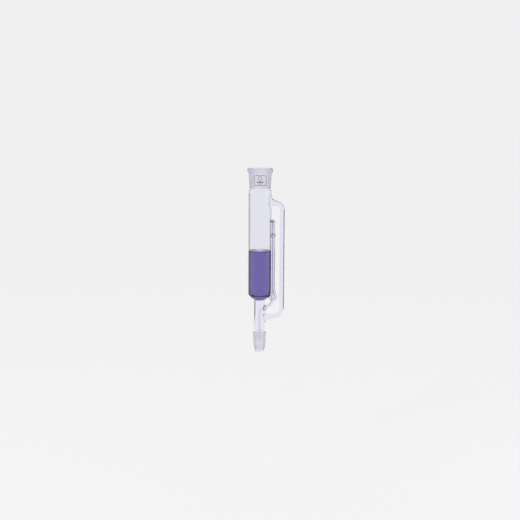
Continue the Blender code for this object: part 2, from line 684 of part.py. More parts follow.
def thread(name, stations, radii, material):
    """A round rod whose stations lie in more than one plane, with one frame carried along it."""
    points = [plane.point(s[0], s[1]) for plane, s in stations]
    shell = bmesh.new()
    rings = []
    side = None
    for (plane, station), point, radius in zip(stations, points, radii):
        heading = station[2]
        along = plane.out * math.cos(heading) + Vector((0.0, 0.0, math.sin(heading)))
        if side is None:
            side = plane.across.copy()
        side = (side - along * side.dot(along)).normalized()
        other = along.cross(side)
        angles = [math.tau * i / COLUMN_SIDES for i in range(COLUMN_SIDES)]
        rings.append([shell.verts.new(point + radius * (side * math.cos(a) + other * math.sin(a)))
                      for a in angles])
    for ring, following in zip(rings, rings[1:]):
        for i in range(COLUMN_SIDES):
            j = (i + 1) % COLUMN_SIDES
            shell.faces.new((ring[i], following[i], following[j], ring[j]))
    shell.faces.new(rings[0])
    shell.faces.new(rings[-1][::-1])
    bmesh.ops.recalc_face_normals(shell, faces=shell.faces)
    mesh = bpy.data.meshes.new(name)
    shell.to_mesh(mesh)
    shell.free()
    mesh.shade_smooth()
    return add_object(name, mesh, material)


def make_mark(enamel):
    """Empty writing patch: a frame with one bar, bent round the socket on its front side."""
    top = RIM_TOP - MARK_DROP
    columns, rows = 14, 10
    half = MARK_WIDTH / 2
    line = MARK_LINE
    xs = [-half, -half + line] + [-half + line + (MARK_WIDTH - 2 * line) * i / columns
                                  for i in range(1, columns)] + [half - line, half]
    inner = MARK_HEIGHT - 2 * line
    bar_top = BAR_SHARE * inner + line
    zs = [0.0, line, bar_top, bar_top + 2 * line, MARK_HEIGHT - line, MARK_HEIGHT]
    bm = bmesh.new()
    grid = []
    for drop in zs:
        row = []
        for x in xs:
            radius = socket_outside(MARK_DROP + drop) + GAP
            angle = x / radius
            row.append((radius, angle, top - drop))
        grid.append(row)
    layers = []
    for extra in (0.0, MARK_THICKNESS):
        layers.append([[bm.verts.new(((r + extra) * math.sin(a), -(r + extra) * math.cos(a), z))
                        for r, a, z in row] for row in grid])
    inked = set()
    for j in range(len(zs) - 1):
        for i in range(len(xs) - 1):
            if j in (0, 2, 4) or i in (0, len(xs) - 2):
                inked.add((i, j))
    for i, j in inked:
        for layer in range(2):
            sheet = layers[layer]
            face = [sheet[j][i], sheet[j + 1][i], sheet[j + 1][i + 1], sheet[j][i + 1]]
            bm.faces.new(face if layer else face[::-1])
        back, front = layers
        edges = {(i, j - 1): ((j, i), (j, i + 1)), (i, j + 1): ((j + 1, i + 1), (j + 1, i)),
                 (i - 1, j): ((j + 1, i), (j, i)), (i + 1, j): ((j, i + 1), (j + 1, i + 1))}
        for neighbour, ((ja, ia), (jb, ib)) in edges.items():
            if neighbour not in inked:
                bm.faces.new([front[ja][ia], front[jb][ib], back[jb][ib], back[ja][ia]])
    loose = [v for v in bm.verts if not v.link_faces]
    bmesh.ops.delete(bm, geom=loose, context="VERTS")
    bmesh.ops.recalc_face_normals(bm, faces=bm.faces)
    mesh = bpy.data.meshes.new("enamel_patch")
    bm.to_mesh(mesh)
    bm.free()
    return add_object("enamel_patch", mesh, enamel)


def main():
    clear_scene()
    clear_glass = glassy("clear_glass", (0.90, 0.90, 0.94))
    socket_glass = glassy("ground_socket_glass", (0.82, 0.82, 0.87), 0.45)
    cone_glass = glassy("ground_cone_glass", (0.84, 0.83, 0.90), 0.45)
    violet = glassy("violet_extract", (0.20, 0.16, 0.42), 0.02, 0.8)
    enamel = glassy("green_grey_enamel", (0.16, 0.20, 0.15), 0.6, 0.0)
    make_socket(socket_glass)
    make_chamber(clear_glass)
    make_outlet(clear_glass)
    make_siphon(clear_glass)
    make_ring_seal(clear_glass)
    make_bridge_and_stay(clear_glass)
    make_vapour_way(clear_glass)
    make_stem(clear_glass)
    make_cone(cone_glass)
    make_extract(violet)
    make_mark(enamel)


main()
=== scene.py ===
import math

import bpy
import numpy as np
from mathutils import Matrix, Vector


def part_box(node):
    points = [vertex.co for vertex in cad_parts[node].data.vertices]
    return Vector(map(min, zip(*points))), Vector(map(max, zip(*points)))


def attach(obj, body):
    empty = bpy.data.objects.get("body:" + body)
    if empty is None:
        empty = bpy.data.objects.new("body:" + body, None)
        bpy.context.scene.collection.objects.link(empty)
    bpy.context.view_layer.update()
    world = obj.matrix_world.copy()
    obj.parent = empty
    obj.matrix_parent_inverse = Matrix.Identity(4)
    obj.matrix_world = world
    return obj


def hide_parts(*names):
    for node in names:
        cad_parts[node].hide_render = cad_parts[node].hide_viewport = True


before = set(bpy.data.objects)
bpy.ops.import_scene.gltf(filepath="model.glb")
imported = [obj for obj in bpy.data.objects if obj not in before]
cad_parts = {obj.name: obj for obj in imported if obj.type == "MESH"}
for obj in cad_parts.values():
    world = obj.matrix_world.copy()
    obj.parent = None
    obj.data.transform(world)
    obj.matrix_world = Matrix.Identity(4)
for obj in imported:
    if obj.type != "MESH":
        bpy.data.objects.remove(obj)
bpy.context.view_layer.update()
mm = 0.001
print("frame loaded,", len(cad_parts), "nodes")


# A closed skin from a grid of points in metres, along the piece and round it. Rows whose points fall
# together are poles. The winding is turned over where the skin's volume, the sum of a . (b x c) / 6
# over its triangles, is negative.
def makeSkin(name, points, loops=False, layers=None, sharpAt=38):
    rows, columns = points.shape[:2]
    index = np.arange(rows * columns).reshape(rows, columns)
    pole = np.ptp(points, axis=1).max(axis=1) < 1e-7
    index[pole] = index[pole][:, :1]
    upper = index if loops else index[:-1]
    lower = np.roll(index, -1, axis=0) if loops else index[1:]
    quads = np.stack([upper, np.roll(upper, -1, axis=1), np.roll(lower, -1, axis=1), lower], axis=-1)
    quads = quads.reshape(-1, 4)
    thinUpper, thinLower = quads[:, 0] == quads[:, 1], quads[:, 2] == quads[:, 3]
    whole = quads[~thinUpper & ~thinLower]
    fans = np.concatenate([quads[thinUpper & ~thinLower][:, [0, 2, 3]],
                           quads[thinLower & ~thinUpper][:, [0, 1, 2]]])
    used, fresh = np.unique(np.concatenate([whole.ravel(), fans.ravel()]), return_inverse=True)
    whole, fans = fresh[:whole.size].reshape(-1, 4), fresh[whole.size:].reshape(-1, 3)
    spots = points.reshape(-1, 3)[used]
    triangles = np.concatenate([whole[:, [0, 1, 2]], whole[:, [0, 2, 3]], fans])
    a, b, c = (spots[triangles[:, k]] for k in range(3))
    if np.einsum("ij,ij->", a, np.cross(b, c)) < 0:
        whole, fans = whole[:, ::-1], fans[:, ::-1]
    mesh = bpy.data.meshes.new(name)
    mesh.from_pydata(spots.tolist(), [], whole.tolist() + fans.tolist())
    for layer, amount in (layers or {}).items():
        values = np.broadcast_to(amount, (rows, columns)).reshape(-1)[used]
        mesh.attributes.new(layer, "FLOAT", "POINT").data.foreach_set("value", values.astype(np.float32))
    mesh.shade_smooth()
    mesh.set_sharp_from_angle(angle=math.radians(sharpAt))
    piece = bpy.data.objects.new(name, mesh)
    bpy.context.scene.collection.objects.link(piece)
    return piece


# A profile of (radius, height) in mm carried round the axis: (r cos a, r sin a, z)
def turn(profile, sides=128):
    around = np.linspace(0, 2 * np.pi, sides, endpoint=False)
    radius, height = profile[:, :1] * mm, profile[:, 1:] * mm
    return np.stack([radius * np.cos(around), radius * np.sin(around),
                     np.broadcast_to(height, (len(profile), sides))], axis=-1)


# Arc in the profile plane: centre + radius (cos a, sin a), a from start to end in degrees
def arc(centre, radius, start, end, count):
    a = np.radians(np.linspace(start, end, count))
    return np.stack([centre[0] + radius * np.cos(a), centre[1] + radius * np.sin(a)], axis=-1)


# Straight run between two profile points
def line(start, end, count):
    share = np.linspace(0, 1, count)[:, None]
    return np.array(start) * (1 - share) + np.array(end) * share


# Soft step from one radius to another over a height, 3t^2 - 2t^3
def ease(start, end, count):
    t = np.linspace(0, 1, count)
    s = t * t * (3 - 2 * t)
    return np.stack([start[0] + (end[0] - start[0]) * s, start[1] + (end[1] - start[1]) * t], axis=-1)


# A route in an upright plane from straight runs ("go", length) and bends ("bend", radius, angle).
# On a bend the point is centre + side * radius * (sin h, -cos h) for the heading h.
# Each row is u, w, heading in mm and radians.
def route(start, heading, moves, step=3.0, turnStep=5.0):
    u, w, h = start[0], start[1], math.radians(heading)
    parts = [np.array([[u, w, h]])]
    for move in moves:
        if move[0] == "go":
            along = np.linspace(0, move[1], max(2, math.ceil(abs(move[1]) / step) + 1))[1:]
            part = np.stack([u + along * math.cos(h), w + along * math.sin(h),
                             np.full(len(along), h)], axis=-1)
        else:
            radius, angle = move[1], math.radians(move[2])
            side = math.copysign(1, angle)
            count = max(3, math.ceil(abs(move[2]) / turnStep) + 1)
            turned = h + np.linspace(0, angle, count)[1:]
            part = np.stack([u + side * radius * (np.sin(turned) - math.sin(h)),
                             w - side * radius * (np.cos(turned) - math.cos(h)), turned], axis=-1)
        parts.append(part)
        u, w, h = part[-1]
    return np.concatenate(parts)


# Points and headings in space of a route drawn in an upright plane
def inPlane(stations, foot, out):
    outward = np.array([out[0], out[1], 0.0]) / math.hypot(*out)
    up = np.array([0.0, 0.0, 1.0])
    spots = (np.array([foot[0], foot[1], 0.0]) + stations[:, :1] * outward + stations[:, 1:2] * up) * mm
    return spots, np.cos(stations[:, 2:]) * outward + np.sin(stations[:, 2:]) * up


# Side vectors along a path: the last one, less its part along the new heading, made one long
def sidesAlong(headings, first):
    sides, side = [], np.array(first, float)
    for heading in headings:
        side = side - heading * (side @ heading)
        side = side / np.linalg.norm(side)
        sides.append(side)
    return np.array(sides)


# Rings round a path: point + lift * a cos t + side * b sin t, with a and b in mm at each station
def rings(spots, headings, first, a, b, count):
    side = sidesAlong(headings, first)
    lift = np.cross(headings, side)
    t = np.linspace(0, 2 * np.pi, count, endpoint=False)
    a = np.broadcast_to(np.asarray(a, float), len(spots))[:, None, None] * mm
    b = np.broadcast_to(np.asarray(b, float), len(spots))[:, None, None] * mm
    return (spots[:, None] + lift[:, None] * a * np.cos(t)[:, None]
            + side[:, None] * b * np.sin(t)[:, None])


# Painted shade from one value on the -x side of a middle to another on its +x side, making one side's
# outline darker or lighter than the other, x and radius in mm
def shadeAcross(x, middle, radius, low, high):
    return low + (high - low) * np.clip((x - middle) / radius * 0.5 + 0.5, 0, 1)


# Sets a piece's painted edge shade, an addition to how far round a surface is seen, from x, y, z in mm
def shadeEdges(piece, shadeAt):
    spots = np.empty(len(piece.data.vertices) * 3, np.float32)
    piece.data.vertices.foreach_get("co", spots)
    values = np.broadcast_to(shadeAt(*(spots.reshape(-1, 3).T / mm)), len(spots) // 3)
    layer = piece.data.attributes.new("edgeShade", "FLOAT", "POINT")
    layer.data.foreach_set("value", values.astype(np.float32))


# A tube is its outer rings one way and its inner rings back, joined at both ends
def tube(name, spots, headings, first, outer, inner, count=36, shades=(0.0, 0.0)):
    outside = rings(spots, headings, first, outer, outer, count)
    lining = rings(spots, headings, first, inner, inner, count)
    points = np.concatenate([outside, lining[::-1]])
    middles = np.concatenate([spots, spots[::-1]])[:, :1] / mm
    shade = shadeAcross(points[..., 0] / mm, middles, np.max(outer), *shades)
    return makeSkin(name, points, loops=True, layers={"edgeShade": shade})


# A rod is its rings with a point in the middle of each end
def rod(name, spots, headings, first, radius, count=36, **more):
    skin = rings(spots, headings, first, radius, radius, count)
    ends = [np.broadcast_to(spots[k], (1, count, 3)) for k in (0, -1)]
    return makeSkin(name, np.concatenate([ends[0], skin, ends[1]]), **more)


# Fuses parts on and cuts holes, then keeps the result as the piece's own mesh
def carve(piece, holes=(), fused=(), sharpAt=38):
    work = [("UNION", other) for other in fused] + [("DIFFERENCE", other) for other in holes]
    for operation, other in work:
        change = piece.modifiers.new("carve", "BOOLEAN")
        change.operation, change.solver, change.object = operation, "EXACT", other
    graph = bpy.context.evaluated_depsgraph_get()
    mesh = bpy.data.meshes.new_from_object(piece.evaluated_get(graph))
    piece.modifiers.clear()
    piece.data = mesh
    mesh.shade_smooth()
    mesh.set_sharp_from_angle(angle=math.radians(sharpAt))
    for _, other in work:
        bpy.data.objects.remove(other)


def finishPiece(piece, material, slot, *nodes):
    piece.data.materials.clear()
    piece.data.materials.append(material)
    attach(piece, "root")
    if nodes:
        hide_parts(*nodes)


# The edge colours below are painted shade, darkening the glass towards its outline
glassLook = {
    "tint": (0.943, 0.942, 0.986),      # seen square on
    "paintedEdgeShade": (0.10, 0.095, 0.13),    # seen along the wall
    "edgeFrom": 0.56, "edgeTo": 0.80,   # how far round the painted edge shade begins and is full
    # the gloss is dimmed as painted shade, darkening the glass's reflections and outline, more on the body
    # than on the thin tubes
    "bodyGloss": (0.50, 0.49, 0.55), "tubeGloss": (0.85, 0.85, 0.88), "bend": 1.473,
    "soak": (0.30, 0.30, 0.86), "soakRate": 5.0, "bump": 0.02, "bumpDepth": 0.00004,
}
groundLook = {
    "tint": (0.975, 0.968, 1.0), "paintedEdgeShade": (0.58, 0.57, 0.64), "edgeFrom": 0.45, "edgeTo": 1.0,
    "veil": (0.93, 0.93, 0.95), "bump": 0.25, "bumpDepth": 0.00008,
    "polished": 0.03, "ground": 0.50, "grain": 2600.0, "rings": 900.0,
    "through": 1.0, "soak": (0.30, 0.30, 0.86), "soakRate": 9.0,
}
# steps: how far round the liquid is seen, and its tint there; the extract's later steps are painted shade,
# darkening it to magenta and near black towards its outline, and its gloss paints a violet tint on its
# reflections
extractLook = {
    "bend": 1.361, "gloss": (0.90, 0.68, 0.97), "soak": (0.118, 0.00, 0.587), "soakRate": 42.0,
    "steps": [(0.0, (1.0, 1.0, 1.0)), (0.20, (0.74, 0.73, 0.77)), (0.214, (0.42, 0.17, 0.42)),
              (0.24, (0.08, 0.010, 0.10)), (0.5, (0.03, 0.005, 0.04))],
}
threadLook = {
    "bend": 1.361, "gloss": (1.0, 1.0, 1.0), "soak": (0.74, 0.00, 0.82), "soakRate": 10.0,
    "steps": [(0.0, (1.0, 1.0, 1.0)), (1.0, (0.98, 0.95, 0.99))],
}
enamelLook = {
    "ink": (0.100, 0.130, 0.095), "worn": (0.22, 0.26, 0.21), "wornFrom": 0.45, "wornTo": 0.75,
    "roughness": 0.62, "grain": 900.0, "bump": 0.3, "bumpDepth": 0.00005,
}


# A node with its inputs set: numbers and colours as values, other nodes' outputs as links
def addNode(tree, kind, values, **settings):
    node = tree.nodes.new("ShaderNode" + kind)
    for setting, value in settings.items():
        setattr(node, setting, value)
    feed(tree, node, values)
    return node


def feed(tree, node, values):
    for label, value in values.items():
        if isinstance(value, (int, float, tuple)):
            node.inputs[label].default_value = value
        else:
            tree.links.new(value, node.inputs[label])


def addMath(tree, operation, first, second, clamp=False):
    values = {0: first, 1: second}
    return addNode(tree, "Math", values, operation=operation, use_clamp=clamp).outputs[0]


def addNoise(tree, vector, scale, detail):
    return addNode(tree, "TexNoise", {"Vector": vector, "Scale": scale, "Detail": detail}).outputs["Fac"]


def newGroup(name, inputs, outputs):
    group = bpy.data.node_groups.new(name, "ShaderNodeTree")
    group.interface.new_socket("Vector", in_out="INPUT", socket_type="NodeSocketVector")
    for label, value in inputs.items():
        socket = group.interface.new_socket(label, in_out="INPUT", socket_type="NodeSocketFloat")
        socket.default_value = value
    for label in outputs:
        group.interface.new_socket(label, in_out="OUTPUT", socket_type="NodeSocketFloat")
    return group, group.nodes.new("NodeGroupInput").outputs, group.nodes.new("NodeGroupOutput")


# Fine streaks that tube drawing leaves along the axis: noise squeezed sideways, stretched upright
def makeDrawnGroup():
    group, given, result = newGroup("drawnStreaks", {"Across": 260.0, "Along": 9.0}, ["Height"])
    stretch = addNode(group, "CombineXYZ", {0: given["Across"], 1: given["Across"], 2: given["Along"]})
    scaled = addNode(group, "VectorMath", {0: given["Vector"], 1: stretch.outputs[0]},
                     operation="MULTIPLY")
    feed(group, result, {"Height": addNoise(group, scaled.outputs[0], 1.0, 2.0)})
    return group


# Ground glass: a fine grain, rings left by the grinding, and slow clouding, all within a mask
def makeGroundGroup():
    group, given, result = newGroup(
        "groundFinish", {"Zone": 1.0, "Grain": 2600.0, "Rings": 900.0, "Polished": 0.03, "Ground": 0.42},
        ["Height", "Roughness", "Cloud"])
    zone = given["Zone"]
    apart = addNode(group, "SeparateXYZ", {0: given["Vector"]})
    upright = addNode(group, "CombineXYZ", {2: addMath(group, "MULTIPLY", apart.outputs[2], given["Rings"])})
    grain = addNoise(group, given["Vector"], given["Grain"], 3.0)
    lines = addNoise(group, upright.outputs[0], 1.0, 1.0)
    cloud = addNoise(group, given["Vector"], 130.0, 4.0)
    relief = addMath(group, "ADD", grain, addMath(group, "MULTIPLY", lines, 0.55))
    clouded = addMath(group, "MULTIPLY", cloud, zone)
    rise = addMath(group, "SUBTRACT", given["Ground"], given["Polished"])
    uneven = addMath(group, "ADD", addMath(group, "MULTIPLY", clouded, 0.3), 0.85)
    masked = addMath(group, "MULTIPLY", addMath(group, "MULTIPLY", rise, uneven), zone)
    feed(group, result, {
        "Height": addMath(group, "MULTIPLY", relief, zone), "Cloud": clouded,
        "Roughness": addMath(group, "ADD", masked, given["Polished"], clamp=True)})
    return group


def newMaterial(name):
    material = bpy.data.materials.new(name)
    material.use_nodes = True
    tree = material.node_tree
    return material, tree, tree.nodes["Principled BSDF"], tree.nodes["Material Output"]


def addCoordinates(tree):
    return addNode(tree, "TexCoord", {}).outputs["Object"]


def addBump(tree, shader, height, look):
    bump = addNode(tree, "Bump", {"Strength": look["bump"], "Distance": look["bumpDepth"], "Height": height})
    feed(tree, shader, {"Normal": bump.outputs["Normal"]})


def readLayer(tree, name):
    return addNode(tree, "Attribute", {}, attribute_name=name).outputs["Fac"]


# How far round the surface is seen, with the piece's own painted edge shade added
def addRound(tree):
    facing = addNode(tree, "LayerWeight", {"Blend": 0.5}).outputs["Facing"]
    return addMath(tree, "ADD", facing, readLayer(tree, "edgeShade"))


# Painted shade: glass is darkened where it is seen along its wall, the mix going from tint to the painted
# edge shade
def addPaintedEdgeShade(tree, look):
    limits = {"Value": addRound(tree), "From Min": look["edgeFrom"], "From Max": look["edgeTo"]}
    share = addNode(tree, "MapRange", limits, interpolation_type="SMOOTHSTEP").outputs["Result"]
    tintAndShade = {0: share, 6: (*look["tint"], 1), 7: (*look["paintedEdgeShade"], 1)}
    return addNode(tree, "Mix", tintAndShade, data_type="RGBA").outputs[2]


def addSoak(tree, output, look):
    soak = addNode(tree, "VolumeAbsorption", {"Color": (*look["soak"], 1), "Density": look["soakRate"]})
    feed(tree, output, {"Volume": soak.outputs[0]})


def makeClearGlass(name, gloss):
    look = glassLook
    material, tree, shader, output = newMaterial(name)
    feed(tree, shader, {"Roughness": 0.0, "IOR": look["bend"], "Transmission Weight": 1.0,
                        "Specular Tint": (*gloss, 1), "Base Color": addPaintedEdgeShade(tree, look)})
    streaks = addNode(tree, "Group", {"Vector": addCoordinates(tree)}, node_tree=drawnStreaks)
    addBump(tree, shader, streaks.outputs["Height"], look)
    addSoak(tree, output, look)
    return material


def makeGroundGlass():
    look = groundLook
    material, tree, shader, output = newMaterial("groundGlass")
    finish = addNode(tree, "Group", {}, node_tree=groundFinish)
    feed(tree, finish, {"Vector": addCoordinates(tree), "Zone": readLayer(tree, "groundZone"),
                        "Grain": look["grain"], "Rings": look["rings"],
                        "Polished": look["polished"], "Ground": look["ground"]})
    tintAndShade = {0: finish.outputs["Cloud"], 6: addPaintedEdgeShade(tree, look), 7: (*look["veil"], 1)}
    veil = addNode(tree, "Mix", tintAndShade, data_type="RGBA", blend_type="MULTIPLY")
    feed(tree, shader, {"Roughness": finish.outputs["Roughness"], "IOR": glassLook["bend"],
                        "Transmission Weight": look["through"], "Base Color": veil.outputs[2]})
    addBump(tree, shader, finish.outputs["Height"], look)
    addSoak(tree, output, look)
    return material


def makeExtract(name, look):
    material, tree, shader, output = newMaterial(name)
    ramp = addNode(tree, "ValToRGB", {"Fac": addRound(tree)})
    stops = ramp.color_ramp.elements
    while len(stops) < len(look["steps"]):
        stops.new(0.5)
    for stop, (place, colour) in zip(stops, look["steps"]):
        stop.position, stop.color = place, (*colour, 1)
    feed(tree, shader, {"Roughness": 0.0, "IOR": look["bend"], "Transmission Weight": 1.0,
                        "Specular Tint": (*look["gloss"], 1), "Base Color": ramp.outputs["Color"]})
    addSoak(tree, output, look)
    return material


def makeEnamel():
    look = enamelLook
    material, tree, shader, _ = newMaterial("greyGreenEnamel")
    spots = addNoise(tree, addCoordinates(tree), look["grain"], 4.0)
    ramp = addNode(tree, "ValToRGB", {"Fac": spots})
    for stop, place, colour in zip(ramp.color_ramp.elements, ("wornFrom", "wornTo"), ("ink", "worn")):
        stop.position, stop.color = look[place], (*look[colour], 1)
    feed(tree, shader, {"Roughness": look["roughness"], "Base Color": ramp.outputs["Color"]})
    addBump(tree, shader, spots, look)
    return material


drawnStreaks = makeDrawnGroup()
groundFinish = makeGroundGroup()
clearGlass = makeClearGlass("clearGlass", glassLook["bodyGloss"])
siphonGlass = makeClearGlass("siphonGlass", glassLook["tubeGloss"])
groundGlass = makeGroundGlass()
violetExtract = makeExtract("violetExtract", extractLook)
paleExtract = makeExtract("paleExtract", threadLook)
greyGreenEnamel = makeEnamel()
print("materials made")


# Sizes are in mm, heights above the lower joint's gauge plane. A piece's shades are painted shade on its
# outline: they go from its -x side to its +x side, and are added to how far round it is seen.
boxes = {node: tuple(np.array(corner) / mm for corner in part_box(node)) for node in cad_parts}
overlap = 0.04                        # fused pieces run this far into each other
taper = 0.1                           # of a ground joint's diameter over its length

chamberSizes = {
    "radius": boxes["extraction_chamber"][1][0], "wall": 2.2, "corner": 10.0, "meet": 36.87,
    "low": boxes["extraction_chamber"][0][2], "top": boxes["extraction_chamber"][1][2],
    "shoulder": 9.4, "neck": 24.1, "neckBore": 20.5,
    "shades": (0.06, -0.02), "neckShade": -0.3, "bottomShade": -0.25, "filledShade": 0.06,
    "mouthShade": -0.6, "mouthFrom": 0.7, "armFade": 2.0,
}


# The round bottom: a corner arc that runs into a dome, both moved out by offset
def bowl(offset, count=22):
    s = chamberSizes
    meet = math.radians(s["meet"])
    dome = s["corner"] + (s["radius"] - s["corner"]) / math.cos(meet)
    domeZ = s["low"] + dome
    cornerZ = domeZ - (dome - s["corner"]) * math.sin(meet)
    corner = arc((s["radius"] - s["corner"], cornerZ), s["corner"] + offset, 0, -s["meet"], 12)
    under = arc((0, domeZ), dome + offset, -s["meet"], -90, count)
    under[-1, 0] = 0
    return np.concatenate([corner, under[1:]])


def makeChamber():
    s = chamberSizes
    shoulderZ = s["top"] - s["shoulder"]
    outside, inside = bowl(0), bowl(-s["wall"])
    top = s["top"] + overlap
    profile = np.concatenate([
        inside[::-1], line(inside[0], (s["radius"] - s["wall"], shoulderZ), 40)[1:],
        ease((s["radius"] - s["wall"], shoulderZ), (s["neckBore"], top), 12)[1:],
        ease((s["neck"], top), (s["radius"], shoulderZ), 12),
        line((s["radius"], shoulderZ), outside[0], 40)[1:-1], outside])
    return makeSkin("chamber", turn(profile))


socketSizes = {
    "rimTop": boxes["ground_socket"][1][2], "rimRadius": boxes["ground_socket"][1][0],
    "rimHeight": 9.4, "rimRound": 1.6, "leadIn": 5.0, "gauge": 45.0, "wall": 3.6, "flare": 0.8,
    "mouthRound": 0.7, "fillet": 1.5, "outsideHaze": 0.5, "hazeBelowRim": 1.0,
}


# Radius of the ground bore at a height
def socketBore(z):
    s = socketSizes
    return (s["gauge"] - taper * (s["rimTop"] - s["leadIn"] - z)) / 2


def makeSocket():
    s = socketSizes
    foot, groundTop = chamberSizes["top"] - overlap, s["rimTop"] - s["leadIn"]
    rimLow = s["rimTop"] - s["rimHeight"]
    flat = s["rimRadius"] - s["rimRound"]
    wallTop = rimLow - s["fillet"]
    atFoot, atTop = socketBore(foot) + s["wall"], socketBore(wallTop) + s["wall"]
    mouth = (socketBore(groundTop) + s["flare"] + s["mouthRound"], s["rimTop"] - s["mouthRound"])
    bore = line((socketBore(groundTop), groundTop), (socketBore(foot), foot), 60)
    profile = np.concatenate([
        line((atFoot, foot), (atTop, wallTop), 16),
        arc((atTop + s["fillet"], wallTop), s["fillet"], 180, 90, 6)[1:-1],
        arc((flat, rimLow + s["rimRound"]), s["rimRound"], -90, 0, 8),
        arc((flat, s["rimTop"] - s["rimRound"]), s["rimRound"], 0, 90, 8),
        arc(mouth, s["mouthRound"], 90, 180, 5), bore])
    zone = np.where(profile[:, 1] > rimLow - s["hazeBelowRim"], 1.0, s["outsideHaze"])
    zone[-len(bore):] = 1
    zone[[0, -1]] = 0
    return makeSkin("groundSocket", turn(profile), loops=True,
                    layers={"groundZone": zone[:, None], "edgeShade": 0.0})


stemSizes = {
    "radius": 12.7, "wall": 1.8, "beadHeight": 3.8, "shades": (0.26, -0.3),
    "footShade": -0.4, "clearBelow": 45.0, "clearOver": 30.0,
    "sideShade": -0.6, "sideFrom": 0.6, "sideLow": 15.0, "sideHigh": 72.0, "armFade": 2.0,
}


def makeStem():
    s = stemSizes
    under = bowl(-overlap)
    under = under[np.argsort(under[:, 0])]
    bore = s["radius"] - s["wall"]
    topOuter, topInner = (np.interp(r, under[:, 0], under[:, 1]) for r in (s["radius"], bore))
    foot = s["beadHeight"] - overlap
    profile = np.concatenate([line((s["radius"], topOuter), (s["radius"], foot), 32),
                              line((bore, foot), (bore, topInner), 32)])
    return makeSkin("stem", turn(profile, 96), loops=True)


coneSizes = {
    "gauge": 29.2, "ground": 32.0, "wall": 2.2, "bead": 15.6, "beadEnd": -62,
    "low": boxes["ground_cone"][0][2], "tip": 10.8, "tipWall": 2.0, "tipEdge": 0.4, "slant": 6.0,
    "step": 1.8, "stepEdge": 0.3, "tipHaze": 0.9, "tipShade": 0.2, "beadHaze": 0.15,
}


def makeCone():
    s, half = coneSizes, stemSizes["beadHeight"] / 2
    end = -s["ground"]
    wide, small = s["gauge"] / 2, (s["gauge"] - taper * s["ground"]) / 2
    bore = stemSizes["radius"] - stemSizes["wall"]
    tipBore, tipHalf = s["tip"] - s["tipWall"], s["tipWall"] / 2
    bead = arc((s["bead"] - half, half), half, 90, s["beadEnd"], 12)
    ground = line((wide, 0), (small, end), 60)
    profile = np.concatenate([
        bead, ground,
        ease((small - s["stepEdge"], end - s["stepEdge"]), (s["tip"], end - s["step"]), 5),
        line((s["tip"], end - s["step"] - s["tipEdge"]), (s["tip"], s["low"] + tipHalf), 10),
        arc((s["tip"] - tipHalf, s["low"] + tipHalf), tipHalf, 0, -180, 9)[1:-1],
        line((tipBore, s["low"] + tipHalf), (tipBore, end - s["step"]), 10),
        ease((tipBore, end - s["step"]), (small - s["wall"], end + s["step"]), 6)[1:],
        line((small - s["wall"], end + s["step"]), (bore, 0), 16)[1:], [[bore, 2 * half]]])
    zone = np.where(profile[:, 1] > 0, s["beadHaze"], s["tipHaze"])
    zone[len(bead):len(bead) + len(ground)] = 1
    points = turn(profile, 96)
    # the drip tip is cut at a slant: its height grows with x, more the nearer it is to the end
    rise = math.tan(math.radians(s["slant"]))
    share = np.clip((end * mm - points[..., 2]) / ((end - s["low"]) * mm), 0, 1)
    points[..., 2] += (points[..., 0] + s["tip"] * mm) * rise * share
    # painted shade darkens the drip tip's outline
    shade = np.where(profile[:, 1] < end, s["tipShade"], 0.0)
    return makeSkin("groundCone", points, loops=True,
                    layers={"groundZone": zone[:, None], "edgeShade": shade[:, None]})


poolSizes = {
    "top": boxes["chamber_extract"][1][2] - 1.0, "climb": 0.9, "climbOver": 1.2, "edge": 4.0,
    "look": 0.14, "wallShade": 0.005, "crescent": 0.18, "crescentTilt": 0.47, "crescentOver": 0.36,
    "lineShade": 0.20, "lineDown": 0.7, "lineOver": 0.7,
    "surfaceShade": -1.0, "meniscusShade": -0.6, "meniscusOver": 5.0,
}


# The surface climbs to the glass as exp((r - radius) / climbOver)
def makePool():
    s, c = poolSizes, chamberSizes
    radius = c["radius"] - c["wall"] + overlap
    r = radius * np.sqrt(np.linspace(0, 1, 26))
    surface = np.stack([r, s["top"] + s["climb"] * np.exp((r - radius) / s["climbOver"])], axis=-1)
    under = bowl(-c["wall"] + overlap)
    edgeFoot = (radius, s["top"] - s["edge"])
    profile = np.concatenate([surface, line(surface[-1], edgeFoot, 12)[1:],
                              line(edgeFoot, under[0], 30)[1:-1], under])
    # painted shade: it undoes the bowl's own tilt, but leaves a painted dark crescent at its corner's sides;
    # a painted dark line runs under the meniscus, painted violet shade rings the surface's edge and the
    # surface's middle has none
    slope = np.gradient(profile, axis=0)
    tilt = np.arctan2(np.clip(-slope[:, 0], 0, None), -slope[:, 1])
    tilt = np.where(profile[:, 1] < c["low"] + c["corner"] * 2, tilt, 0)
    shade = np.sqrt(1 - (np.sin(tilt + s["look"]) / glassLook["bend"]) ** 2) - 1 + s["wallShade"]
    shade += s["crescent"] * np.exp(-((tilt - s["crescentTilt"]) / s["crescentOver"]) ** 4)
    shade += s["lineShade"] * np.exp(-((profile[:, 1] - s["top"] + s["lineDown"]) / s["lineOver"]) ** 2)
    # the surface's edge has painted violet shade, fading out towards its middle
    inward = np.clip((radius - surface[:, 0]) / s["meniscusOver"], 0, 1)
    shade[:len(surface)] = s["meniscusShade"] + (s["surfaceShade"] - s["meniscusShade"]) * inward
    return makeSkin("extractPool", turn(profile), layers={"edgeShade": shade[:, None]})


